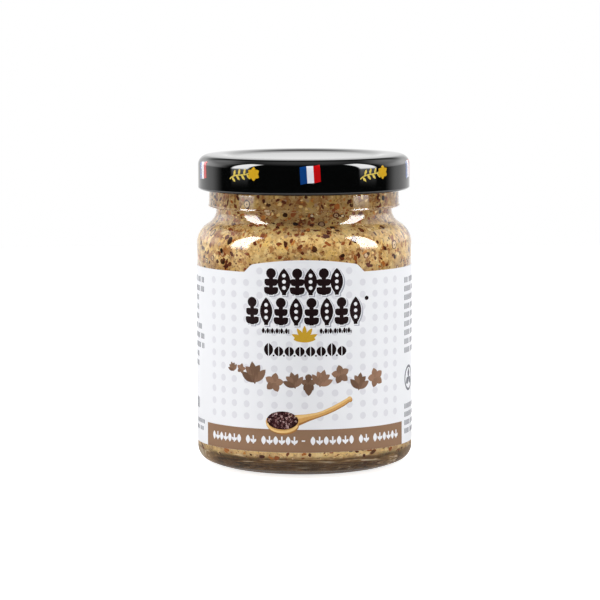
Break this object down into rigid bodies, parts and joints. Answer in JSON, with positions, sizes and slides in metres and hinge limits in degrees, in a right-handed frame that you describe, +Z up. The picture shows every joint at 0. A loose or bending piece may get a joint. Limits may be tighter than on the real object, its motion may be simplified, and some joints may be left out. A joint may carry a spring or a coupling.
{
  "type": "mustard jar",
  "caption": "Small round glass jar filled with grainy mustard, shut with a pressed twist-off cap and wrapped in a paper label with an arched tab.",
  "frame": {"origin": "centre of the base, on the surface that the jar stands on", "axes": "+Z up along the jar's axis; -Y is the front of the label, +X is to the right seen from the front"},
  "size_m": [0.0516, 0.0515, 0.0751],
  "materials": {
    "glass": "clear",
    "mustard": "grainy, moist",
    "lacquered_tinplate": "gloss black lacquer",
    "label_paper": "coated, satin"
  },
  "bodies": {
    "root": {"jar": "glass", "mustard": "mustard", "lid": "lacquered_tinplate", "label": "label_paper"}
  },
  "joints": []
}
